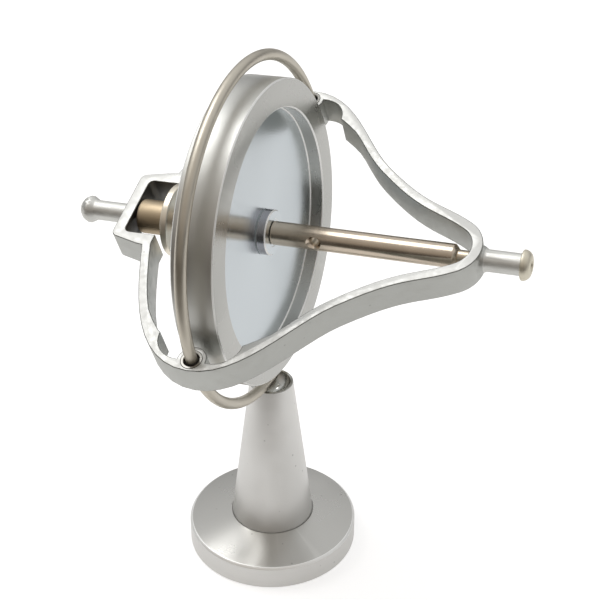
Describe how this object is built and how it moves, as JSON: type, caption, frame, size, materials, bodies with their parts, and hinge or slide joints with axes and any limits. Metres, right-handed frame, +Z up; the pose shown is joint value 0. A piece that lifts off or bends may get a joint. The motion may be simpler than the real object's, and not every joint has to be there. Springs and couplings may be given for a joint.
{
  "type": "gyroscope on stand",
  "caption": "Classroom gyroscope: a heavy recessed rotor on an axle in a flat bell-shaped cast frame, carried in an upright wire ring that rests on a small conical cup stand.",
  "frame": {"origin": "centre of the base's flat underside, on the stand's own upright axis", "axes": "+Z up along the stand, +X along the axle's direction seen from above, towards the frame's rounded nose, +Y to the back of the ring"},
  "size_m": [0.099, 0.075, 0.1185],
  "materials": {
    "turned_aluminium": "satin turned aluminium, faint lathe lines",
    "zinc_steel": "zinc plated screw",
    "cast_aluminium": "pale cast metal with a slightly grainy skin, top face bright",
    "nickel_rod": "warm nickel plated rod, polished",
    "bright_bush": "bright thin bush",
    "bronze": "sintered bronze, matt",
    "pale_brass": "pale yellowish nickel silver, polished",
    "turned_steel": "turned and polished steel with fine circular lines",
    "hub_steel": "turned steel collar, bright edges",
    "plated_axle": "warm nickel plated, polished",
    "champagne_brass": "champagne coloured plated brass, satin"
  },
  "bodies": {
    "stand": {"base_disc": "turned_aluminium", "pedestal": "turned_aluminium", "pedestal_screw": "zinc_steel"},
    "gyroscope": {"frame_casting": "cast_aluminium", "ring": "nickel_rod", "eyelet_bush_front": "bright_bush", "eyelet_bush_back": "bright_bush", "left_bearing": "bronze", "right_bearing": "bronze", "tip_pin": "pale_brass"},
    "rotor": {"rotor_disc": "turned_steel", "hub_bush": "hub_steel", "axle": "plated_axle", "winding_sleeve": "plated_axle", "spool": "champagne_brass", "flange": "champagne_brass", "left_spacer": "plated_axle"}
  },
  "joints": [
    {"name": "cup_swivel", "type": "hinge", "parent": "stand", "child": "gyroscope", "pos_m": [0, 0, 0.0449], "axis": [0, 0, 1], "continuous": true},
    {"name": "rotor_spin", "type": "hinge", "parent": "gyroscope", "child": "rotor", "pos_m": [-0.00253, 0, 0.08111], "axis": [0.9976, 0, 0.0698], "continuous": true}
  ]
}
